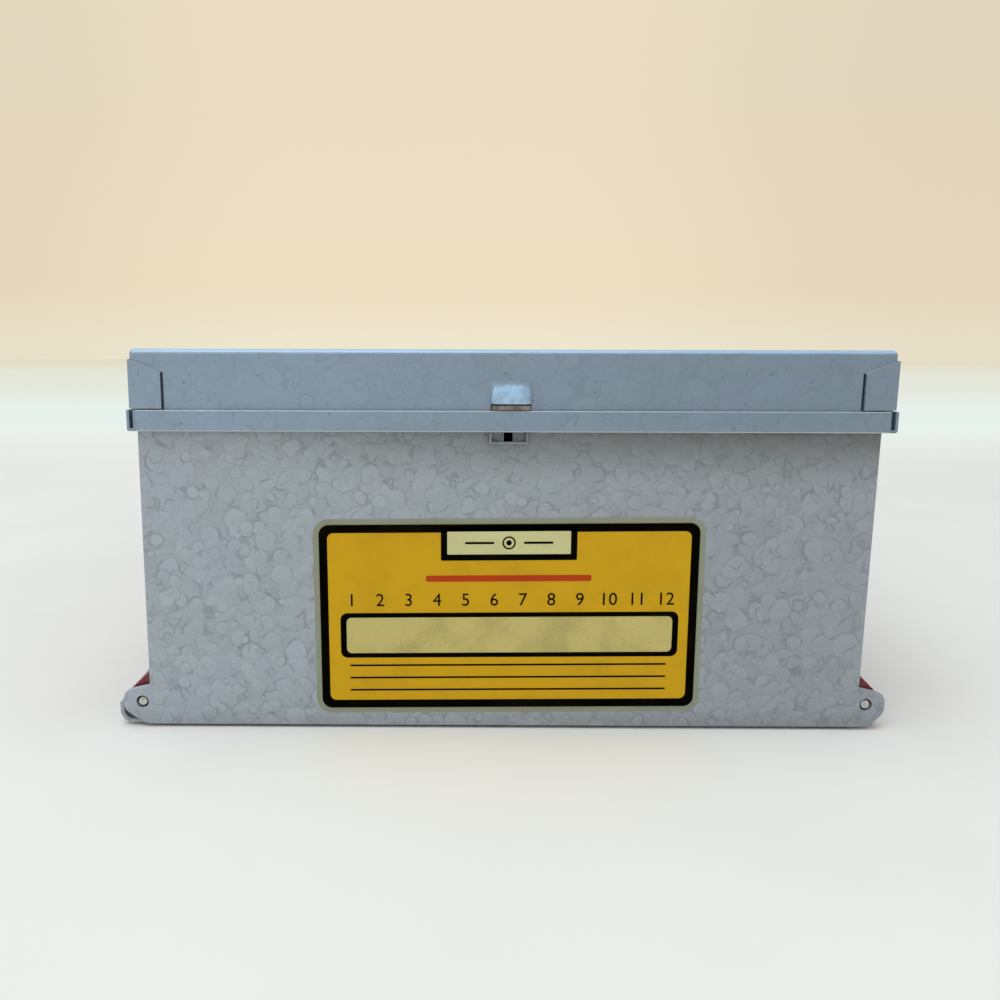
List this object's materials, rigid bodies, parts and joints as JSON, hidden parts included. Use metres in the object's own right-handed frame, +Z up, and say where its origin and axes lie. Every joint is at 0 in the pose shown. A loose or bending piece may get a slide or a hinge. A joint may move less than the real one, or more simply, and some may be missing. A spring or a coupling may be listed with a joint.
{
  "type": "slide storage box",
  "caption": "Low steel box for mounted slides, with two rows of tilt-out compartments on long rods under a rear-hinged lid held by a press-to-open front.",
  "frame": {"origin": "middle of the underside of the box that bounds the whole object", "axes": "+Z up, +Y to the rear hinge along the rows, +X to the right seen from the labelled front, which faces -Y"},
  "size_m": [0.1244, 0.1848, 0.0605],
  "materials": {
    "grey_hammertone": "hammered enamel, satin",
    "red_hammertone": "fine wrinkle enamel",
    "spring_steel": "bare, tarnished",
    "plated_steel": "zinc plated, worn",
    "label_print": "printed and varnished",
    "card": "matt, aged"
  },
  "bodies": {
    "case": {"base_pan": "grey_hammertone", "rear_panel": "grey_hammertone", "rod_left": "plated_steel", "rod_right": "plated_steel", "hinge_pin": "plated_steel"},
    "front_panel": {"front_panel": "grey_hammertone", "catch_plate": "spring_steel", "front_label": "label_print"},
    "lid": {"lid_shell": "grey_hammertone", "index_card": "card"},
    "compartment_01": {"compartment_01": "red_hammertone", "number_label_01": "card", "lug_block_01": "red_hammertone"},
    "compartment_02": {"compartment_02": "red_hammertone", "number_label_02": "card"},
    "compartment_03": {"compartment_03": "red_hammertone", "number_label_03": "card"},
    "compartment_04": {"compartment_04": "red_hammertone", "number_label_04": "card"},
    "compartment_05": {"compartment_05": "red_hammertone", "number_label_05": "card"},
    "compartment_06": {"compartment_06": "red_hammertone", "number_label_06": "card"},
    "compartment_07": {"compartment_07": "red_hammertone", "number_label_07": "card", "lug_block_07": "red_hammertone"},
    "compartment_08": {"compartment_08": "red_hammertone", "number_label_08": "card"},
    "compartment_09": {"compartment_09": "red_hammertone", "number_label_09": "card"},
    "compartment_10": {"compartment_10": "red_hammertone", "number_label_10": "card"},
    "compartment_11": {"compartment_11": "red_hammertone", "number_label_11": "card"},
    "compartment_12": {"compartment_12": "red_hammertone", "number_label_12": "card"}
  },
  "joints": [
    {"name": "lid_hinge", "type": "hinge", "parent": "case", "child": "lid", "pos_m": [0, 0.09093, 0.0484], "axis": [-1, 0, 0], "range_deg": [0, 180]},
    {"name": "front_press", "type": "hinge", "parent": "case", "child": "front_panel", "pos_m": [0, -0.09008, 0.00075], "axis": [-1, 0, 0], "range_deg": [0, 2], "stiffness_Nm_per_rad": 1.5},
    {"name": "tilt_01", "type": "hinge", "parent": "case", "child": "compartment_01", "pos_m": [-0.05825, -0.07187, 0.0043], "axis": [0, -1, 0], "range_deg": [0, 60]},
    {"name": "tilt_02", "type": "hinge", "parent": "case", "child": "compartment_02", "pos_m": [-0.05825, -0.04288, 0.0043], "axis": [0, -1, 0], "range_deg": [0, 60]},
    {"name": "tilt_03", "type": "hinge", "parent": "case", "child": "compartment_03", "pos_m": [-0.05825, -0.01388, 0.0043], "axis": [0, -1, 0], "range_deg": [0, 60]},
    {"name": "tilt_04", "type": "hinge", "parent": "case", "child": "compartment_04", "pos_m": [-0.05825, 0.01512, 0.0043], "axis": [0, -1, 0], "range_deg": [0, 60]},
    {"name": "tilt_05", "type": "hinge", "parent": "case", "child": "compartment_05", "pos_m": [-0.05825, 0.04412, 0.0043], "axis": [0, -1, 0], "range_deg": [0, 60]},
    {"name": "tilt_06", "type": "hinge", "parent": "case", "child": "compartment_06", "pos_m": [-0.05825, 0.07312, 0.0043], "axis": [0, -1, 0], "range_deg": [0, 60]},
    {"name": "tilt_07", "type": "hinge", "parent": "case", "child": "compartment_07", "pos_m": [0.05825, -0.07187, 0.0043], "axis": [0, 1, 0], "range_deg": [0, 60]},
    {"name": "tilt_08", "type": "hinge", "parent": "case", "child": "compartment_08", "pos_m": [0.05825, -0.04288, 0.0043], "axis": [0, 1, 0], "range_deg": [0, 60]},
    {"name": "tilt_09", "type": "hinge", "parent": "case", "child": "compartment_09", "pos_m": [0.05825, -0.01388, 0.0043], "axis": [0, 1, 0], "range_deg": [0, 60]},
    {"name": "tilt_10", "type": "hinge", "parent": "case", "child": "compartment_10", "pos_m": [0.05825, 0.01512, 0.0043], "axis": [0, 1, 0], "range_deg": [0, 60]},
    {"name": "tilt_11", "type": "hinge", "parent": "case", "child": "compartment_11", "pos_m": [0.05825, 0.04412, 0.0043], "axis": [0, 1, 0], "range_deg": [0, 60]},
    {"name": "tilt_12", "type": "hinge", "parent": "case", "child": "compartment_12", "pos_m": [0.05825, 0.07312, 0.0043], "axis": [0, 1, 0], "range_deg": [0, 60]}
  ]
}
